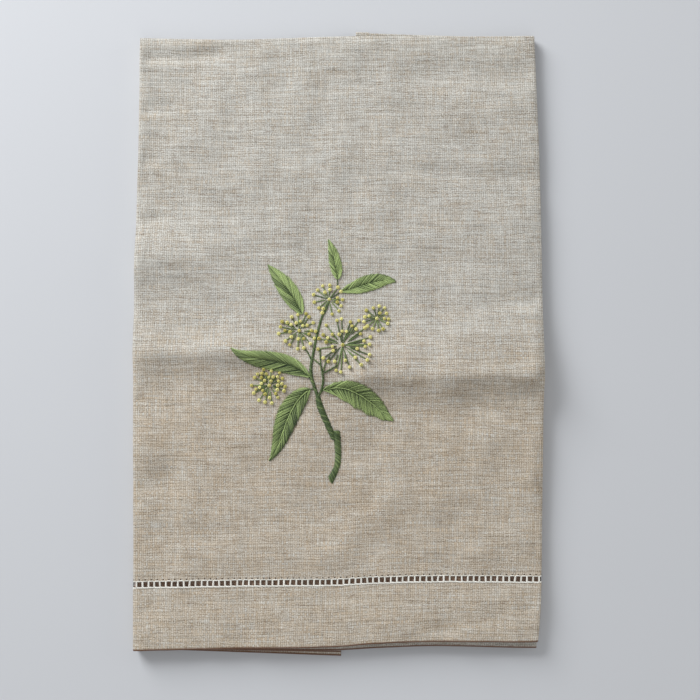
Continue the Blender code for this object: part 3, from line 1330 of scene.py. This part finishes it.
class Wire:
    """A value or colour in a material's nodes, on which arithmetic adds Math nodes."""

    def __init__(self, nodes: "Nodes", socket: Any) -> None:
        """Keeps the nodes it belongs to and its output socket."""
        self.nodes = nodes
        self.socket = socket

    def _math(self, operation: str, *values: Any) -> "Wire":
        """Adds one Math node."""
        return self.nodes.add("ShaderNodeMath", {"operation": operation}, dict(enumerate(values)))[0]

    def __add__(self, other: Any) -> "Wire":
        """self + other."""
        return self._math("ADD", self, other)

    __radd__ = __add__

    def __sub__(self, other: Any) -> "Wire":
        """self - other."""
        return self._math("SUBTRACT", self, other)

    def __rsub__(self, other: Any) -> "Wire":
        """other - self."""
        return self._math("SUBTRACT", other, self)

    def __mul__(self, other: Any) -> "Wire":
        """self * other."""
        return self._math("MULTIPLY", self, other)

    __rmul__ = __mul__

    def __truediv__(self, other: Any) -> "Wire":
        """self / other."""
        return self._math("DIVIDE", self, other)

    def __pow__(self, other: Any) -> "Wire":
        """self ** other."""
        return self._math("POWER", self, other)

    def wave(self) -> "Wire":
        """The sine, in radians."""
        return self._math("SINE", self)

    def size(self) -> "Wire":
        """The value without its sign."""
        return self._math("ABSOLUTE", self)

    def part(self) -> "Wire":
        """What is past the last whole number."""
        return self._math("FRACT", self)

    def whole(self) -> "Wire":
        """The last whole number."""
        return self._math("FLOOR", self)

    def between(self, low: float, high: float) -> "Wire":
        """0 at low and below, 1 at high and above, and eased from one to the other."""
        settings = {"interpolation_type": "SMOOTHSTEP"}
        sockets = {"Value": self, "From Min": low, "From Max": high}
        return self.nodes.add("ShaderNodeMapRange", settings, sockets)["Result"]


class Nodes:
    """A new material, and the one way that nodes are added to it."""

    def __init__(self, name: str) -> None:
        """Makes the material with an empty Principled shader."""
        self.material = bpy.data.materials.new(name)
        self.material.use_nodes = True
        self.tree = self.material.node_tree
        self.shader = self.tree.nodes["Principled BSDF"]

    def add(self, kind: str, settings: dict[str, Any], sockets: dict[Any, Any]) -> "Added":
        """Adds any node.

        Args:
            kind: the node's type.
            settings: its properties, by name.
            sockets: values or wires for its inputs, by name or number.

        Returns:
            The node, whose outputs are read by name or number.
        """
        node = self.tree.nodes.new(kind)
        for key, value in settings.items():
            setattr(node, key, value)
        for key, value in sockets.items():
            self.feed(node.inputs[key], value)
        return Added(self, node)

    def feed(self, socket: Any, value: Any) -> None:
        """Links a wire to a socket, or sets the socket to a plain value.

        Args:
            socket: the input to feed.
            value: a wire, a number, a place or a colour.
        """
        if isinstance(value, Wire):
            self.tree.links.new(value.socket, socket)
        elif isinstance(value, tuple) and len(value) == 3 and socket.type == "RGBA":
            socket.default_value = (*value, 1.0)
        else:
            socket.default_value = value

    def value(self, name: str, output: str = "Fac") -> Wire:
        """Reads one of the mesh's own named values."""
        return self.add("ShaderNodeAttribute", {"attribute_name": name}, {})[output]

    def join(self, x: Any, y: Any, z: Any) -> Wire:
        """Makes a place from its three parts."""
        return self.add("ShaderNodeCombineXYZ", {}, {0: x, 1: y, 2: z})[0]

    def blend(self, share: Any, first: Any, second: Any) -> Wire:
        """Mixes two colours, by the numbers that the Mix node gives its colour sockets."""
        return self.add("ShaderNodeMix", {"data_type": "RGBA"}, {0: share, 6: first, 7: second})[2]

    def shade(self, colour: Wire, tone: Wire) -> Wire:
        """Makes a colour darker or lighter by a tone that is about 1."""
        return self.add("ShaderNodeVectorMath", {"operation": "SCALE"}, {0: colour, "Scale": tone})[0]

    def noise(self, place: Wire, grain: Triple, detail: float = 2.0, seed: float = 0.0) -> Wire:
        """Reads an even noise whose mean is about a half.

        Args:
            place: where to read it.
            grain: the size of its grain on each axis.
            detail: how many finer noises it adds.
            seed: how far it is shifted, so that no two noises are alike.

        Returns:
            The noise.
        """
        sockets = {0: place, 1: tuple(1.0 / size for size in grain), 2: (seed, seed, seed)}
        scaled = self.add("ShaderNodeVectorMath", {"operation": "MULTIPLY_ADD"}, sockets)[0]
        return self.add("ShaderNodeTexNoise", {}, {"Vector": scaled, "Scale": 1.0, "Detail": detail})[0]

    def finish(
        self, roughness: float, colour: Wire, height: Wire, depth: float, **fixed: float
    ) -> bpy.types.Material:
        """Feeds the shader.

        Args:
            roughness: the surface's roughness.
            colour: its colour.
            height: its bump, from about 0 to 1.
            depth: how deep a bump of 1 is, in metres.
            **fixed: the shader's other inputs, by name with _ for a space.

        Returns:
            The finished material.
        """
        self.feed(self.shader.inputs["Base Color"], colour)
        self.feed(self.shader.inputs["Roughness"], roughness)
        bump = self.add("ShaderNodeBump", {}, {"Strength": 1.0, "Distance": depth, "Height": height})
        self.feed(self.shader.inputs["Normal"], bump["Normal"])
        for key, value in fixed.items():
            self.shader.inputs[key.replace("_", " ")].default_value = value
        return self.material


class Added:
    """A node that has been added, whose outputs are read as wires."""

    def __init__(self, nodes: Nodes, node: bpy.types.Node) -> None:
        """Keeps the node."""
        self.nodes = nodes
        self.node = node

    def __getitem__(self, key: Any) -> Wire:
        """One of the node's outputs, by name or number."""
        return Wire(self.nodes, self.node.outputs[key])


@dataclass(frozen=True)
class Yarn:
    """One direction of the weave: its pitch and how its yarns differ, in millimetres."""

    pitch: float
    drift: float
    streak: float
    contrast: float


@dataclass(frozen=True)
class Linen:
    """Natural linen in plain weave: uneven yarns both ways, slubs and brown flecks.

    The grains are the sizes of its noises on the open towel, in millimetres. The colour also
    carries painted shade: tanner below the ridge, brown along its hem edges and round the open
    rows, and dark in the pricks that the hemstitch leaves. A tone is how much something darkens
    or lightens the cloth, and a share is how much of its colour shows.
    """

    pale: Triple = dye(188, 186, 179)
    tan: Triple = dye(188, 171, 148)
    fleck: Triple = dye(122, 98, 80)
    shadow: Triple = dye(60, 44, 32)
    # painted shade round the open rows
    seam: Triple = dye(136, 88, 52)
    # painted shade along the hem edges
    edge: Triple = dye(92, 52, 24)
    warp: Yarn = Yarn(0.944, 1.6, 7.0, 0.62)
    weft: Yarn = Yarn(1.10, 3.2, 10.0, 0.80)
    sway_grain: Triple = (12.0, 30.0, 9.0)
    wander_grain: Triple = (34.0, 2.6, 9.0)
    fibre_grain: Triple = (0.50, 0.46, 9.0)
    cloud_grain: Triple = (30.0, 26.0, 9.0)
    slub_grain: Triple = (4.2, 0.46, 9.0)
    speck_grain: Triple = (0.62, 0.50, 9.0)
    yarn_crown: float = 0.7
    gap_sharpness: float = 1.5
    brightness: float = 1.09
    mean_height: float = 0.72
    height_tone: float = 0.16
    gap_tone: float = 0.25
    fibre_tone: float = 1.5
    cloud_tone: float = 0.10
    fibre_bump: float = 1.2
    tint_share: float = 1.5
    dark_share: float = 0.8
    # painted shade below the ridge: how much tan it adds, and where along it starts and is full
    low_shade_share: float = 0.44
    least_tan: float = 0.15
    low_shade_from: float = 160.0
    low_shade_to: float = 98.0
    slub_share: float = 0.50
    speck_share: float = 0.75
    row_shade_share: float = 0.65
    edge_shade_share: float = 0.9
    prick_past_row: float = 0.72
    bump_depth: float = 0.00005
    roughness: float = 0.92

    def woven(self, n: Nodes, place: Wire, across: Wire, along: Wire) -> tuple[Wire, Wire, Wire]:
        """Works out the weave.

        Args:
            n: the material's nodes.
            place: the place on the open towel, in millimetres.
            across: its first part.
            along: its second part.

        Returns:
            The yarns' tone round 1, their tint from 0 to 1, and the surface's height.
        """
        sway = n.noise(place, self.sway_grain)
        wander = n.noise(place, self.wander_grain, seed=3.0)
        u = across * (1 / self.warp.pitch) + sway * (self.warp.drift / self.warp.pitch)
        v = along * (1 / self.weft.pitch) + wander * (self.weft.drift / self.weft.pitch)
        warp_wave, weft_wave = (u * math.pi).wave(), (v * math.pi).wave()
        over = (warp_wave * weft_wave).between(-0.3, 0.3)
        under = 1.0 - over
        warp_at = n.join(u.whole() * 7.31, along * (1 / self.warp.streak), 0.5)
        weft_at = n.join(across * (1 / self.weft.streak), v.whole() * 5.17, 9.5)
        unit = (1.0, 1.0, 1.0)
        warp_tone = (n.noise(warp_at, unit, 3.0) - 0.5) * self.warp.contrast
        weft_tone = (n.noise(weft_at, unit, 3.0, 4.0) - 0.5) * self.weft.contrast
        tint = n.noise(warp_at, unit, 1.0, 21.0) * over + n.noise(weft_at, unit, 1.0, 33.0) * under
        warp_top, weft_top = (wave.size() ** self.yarn_crown for wave in (warp_wave, weft_wave))
        height = warp_top * over + weft_top * under
        warp_gap, weft_gap = (
            (1.0 - wave.size()) ** self.gap_sharpness for wave in (warp_wave, weft_wave)
        )
        streaks = warp_tone * (over * 0.5 + 0.5) + weft_tone * (under * 0.5 + 0.5)
        tone = self.brightness + streaks + (height - self.mean_height) * self.height_tone
        return tone - (warp_gap + weft_gap) * self.gap_tone, tint, height

    def material(self, hemstitch: Hemstitch) -> bpy.types.Material:
        """Makes the linen.

        Args:
            hemstitch: the stitch whose open rows and pricks it shows.

        Returns:
            The material.
        """
        cloth = hemstitch.cloth
        hem, row = cloth.hem_depth / MM, cloth.open_row / MM
        half_length = cloth.plan.length / 2 / MM
        pitch, shift = hemstitch.pitch / MM, hemstitch.first_opening() / MM
        n = Nodes("linen")
        place = n.value("open_mm", "Vector")
        parts = n.add("ShaderNodeSeparateXYZ", {}, {0: place})
        across, along = parts["X"], parts["Y"]
        tone, tint, height = self.woven(n, place, across, along)
        grain = n.noise(place, self.fibre_grain, 1.0, 17.0) - 0.5
        cloudy = n.noise(place, self.cloud_grain, 3.0, 23.0) - 0.5
        tone = tone + grain * self.fibre_tone + cloudy * self.cloud_tone
        # painted shade: below the ridge the cloth is painted tanner and darker, for the dimmer, warmer
        # light there
        low = along.between(self.low_shade_from, self.low_shade_to) * self.low_shade_share
        warmth = (tint - 0.5) * self.tint_share + (1.0 - tone) * self.dark_share + low
        base = n.blend(warmth + self.least_tan, self.pale, self.tan)
        slub = n.noise(place, self.slub_grain, 2.0, 29.0).between(0.57, 0.70)
        speck = n.noise(place, self.speck_grain, 1.0, 31.0).between(0.68, 0.80)
        flecked = n.blend(slub * self.slub_share, n.shade(base, tone), self.fleck)
        flecked = n.blend(speck * self.speck_share, flecked, self.fleck)
        # painted shadow: a dark dot in the needle prick over each opening, just past the front open row
        sideways = (((across - shift) / pitch).part() - 0.5) * pitch
        upward = along - (hem + row + self.prick_past_row)
        away = (sideways * sideways + upward * upward) ** 0.5
        prick_shaded = n.blend(away.between(0.46, 0.20), flecked, self.shadow)
        # painted shade round both open rows: on the cloth at their edges and, wider, on the back panel
        # that shows through the front row's openings
        from_hem = half_length - (along - half_length).size()
        from_row = (from_hem - (hem + row / 2)).size()
        behind = along.between(half_length, half_length + 1.0)
        near_row = (from_row - behind * 4.0).between(row / 2 + 0.6, row / 2)
        row_shaded = n.blend(near_row * self.row_shade_share, prick_shaded, self.seam)
        # painted shade: a brown line along both hem edges, where the layers' rounded edges lie in shade
        colour = n.blend(from_hem.between(1.10, 0.45) * self.edge_shade_share, row_shaded, self.edge)
        bump = height + grain * self.fibre_bump
        return n.finish(
            self.roughness, colour, bump, self.bump_depth, Sheen_Weight=0.10, Sheen_Roughness=0.5
        )


@dataclass(frozen=True)
class Floss:
    """Embroidery thread: two tones, a fine twist and a soft shine."""

    name: str
    dark: Triple
    light: Triple
    roughness: float
    twist_mm: float = 0.55
    fuzz_grain: Triple = (0.25, 0.25, 0.25)
    bump_depth: float = 0.00005
    sheen: float = 0.3

    def material(self) -> bpy.types.Material:
        """Makes the thread's material from each stitch's own tone, length and turn."""
        n = Nodes(self.name)
        place = n.value("open_mm", "Vector")
        base = n.blend(n.value("shade"), self.dark, self.light)
        twist = (n.value("run_mm") * (2 * math.pi / self.twist_mm) + n.value("around") * 2.0).wave()
        fuzz = n.noise(place, self.fuzz_grain)
        colour = n.shade(base, 1.0 + twist * 0.10 + (fuzz - 0.5) * 0.5)
        bump = twist + fuzz
        return n.finish(
            self.roughness, colour, bump, self.bump_depth, Sheen_Weight=self.sheen, Sheen_Roughness=0.4
        )


# ---- The studio ----


@dataclass(frozen=True)
class Lamp:
    """A soft square lamp aimed at the towel."""

    name: str
    place: Triple
    side: float
    watts: float
    colour: Triple

    def build(self) -> bpy.types.Object:
        """Makes the lamp, which points at the frame's origin."""
        light = bpy.data.lights.new(self.name, "AREA")
        light.shape, light.size = "SQUARE", self.side
        light.energy, light.color = self.watts, self.colour
        lamp = put(self.name, light)
        lamp.location = self.place
        lamp.rotation_euler = (-Vector(self.place)).to_track_quat("-Z", "Y").to_euler()
        return lamp


@dataclass(frozen=True)
class Studio:
    """A pale floor, soft light from the upper left and a camera almost straight above."""

    field_of_view: float = 40.0
    seen_width: float = 0.3070
    tilt: float = 2.6
    aim: tuple[float, float] = (0.0053, -0.0048)
    floor_side: float = 3.0
    floor_drop: float = 0.0001
    floor_roughness: float = 0.9
    floor_colour: Triple = dye(203, 205, 209)
    air: Triple = (0.96, 0.98, 1.0)
    air_strength: float = 0.345
    lamps: tuple[Lamp, ...] = (
        Lamp("window", (-0.66, 0.78, 0.55), 0.62, 15.6, (0.98, 0.99, 1.0)),
        Lamp("bounce", (0.05, -0.78, 0.78), 0.9, 2.2, (1.0, 0.98, 0.95)),
        Lamp("side", (0.95, 0.22, 0.24), 0.5, 1.4, (1.0, 0.99, 0.97)),
    )

    def build(self, surface: float) -> None:
        """Makes the floor, lamps and camera.

        Args:
            surface: how high the face of the towel is.
        """
        bpy.context.scene.view_settings.view_transform = "Standard"
        self.build_floor()
        for lamp in self.lamps:
            lamp.build()
        world = bpy.data.worlds.new("air")
        world.use_nodes = True
        background = world.node_tree.nodes["Background"]
        background.inputs["Color"].default_value = (*self.air, 1.0)
        background.inputs["Strength"].default_value = self.air_strength
        bpy.context.scene.world = world
        self.build_camera(surface)

    def build_floor(self) -> None:
        """Makes the plain floor."""
        half, low = self.floor_side / 2, -self.floor_drop
        mesh = bpy.data.meshes.new("floor")
        corners = ((-half, -half, low), (half, -half, low), (half, half, low), (-half, half, low))
        mesh.from_pydata(corners, [], [(0, 1, 2, 3)])
        plain = Nodes("pale floor")
        plain.feed(plain.shader.inputs["Base Color"], self.floor_colour)
        plain.feed(plain.shader.inputs["Roughness"], self.floor_roughness)
        mesh.materials.append(plain.material)
        floor = put("floor", mesh)

    def build_camera(self, surface: float) -> None:
        """Makes the camera, tipped a little so that the near end looks wider.

        Args:
            surface: how high the face of the towel is.
        """
        data = bpy.data.cameras.new("camera")
        data.angle = math.radians(self.field_of_view)
        camera = put("camera", data)
        away = self.seen_width / 2 / math.tan(data.angle / 2)
        tip = math.radians(self.tilt)
        across, up = self.aim
        camera.location = (across, up - away * math.sin(tip), surface + away * math.cos(tip))
        camera.rotation_euler = (tip, 0.0, 0.0)
        bpy.context.scene.camera = camera


# ---- Putting it together ----

# How high the face usually is, as a share of the cloth's height in CAD.
FACE_SHARE = 0.85


def ride(piece: bpy.types.Object, slot: str, material: bpy.types.Material) -> None:
    """Gives a piece its finish, lets it go with the towel and reports it.

    Args:
        piece: the piece.
        slot: the name of its material slot, which is not used.
        material: its finish.
    """
    piece.data.materials.append(material)
    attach(piece, "root")
    LOG.info("%s: %d points, %d faces", piece.name, len(piece.data.vertices), len(piece.data.polygons))


def main() -> None:
    """Builds the towel's cloth, threads and embroidery, and the studio round them."""
    logging.basicConfig(level=logging.INFO, format="%(name)s: %(message)s")
    plan = FoldPlan()
    cloth = Cloth(plan)
    hemstitch = Hemstitch(cloth)

    linen = Linen().material(hemstitch)
    white = Floss("white thread", dye(205, 203, 193), dye(246, 244, 236), 0.6, sheen=0.2).material()
    green = Floss("green floss", dye(58, 80, 33), dye(178, 200, 126), 0.5).material()
    yellow = Floss("yellow floss", dye(186, 176, 78), dye(242, 236, 152), 0.5).material()
    natural = Floss("natural thread", dye(186, 176, 152), dye(214, 206, 186), 0.7).material()

    sheet = cloth.build()
    ride(sheet, "linen", linen)
    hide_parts(CLOTH_NODE)
    hem_thread, side_thread = hemstitch.build(), SideStitching(cloth).build()
    worked = Sprig(plan).build()
    for pieces, slot, material in (
        ([hem_thread], "white_thread", white),
        ([side_thread], "linen", natural),
        (worked["green"], "green_floss", green),
        (worked["yellow"], "yellow_floss", yellow),
    ):
        for piece in pieces:
            ride(piece, slot, material)
    Studio().build(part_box(CLOTH_NODE)[1][2] * FACE_SHARE)


if __name__ == "__main__":
    main()
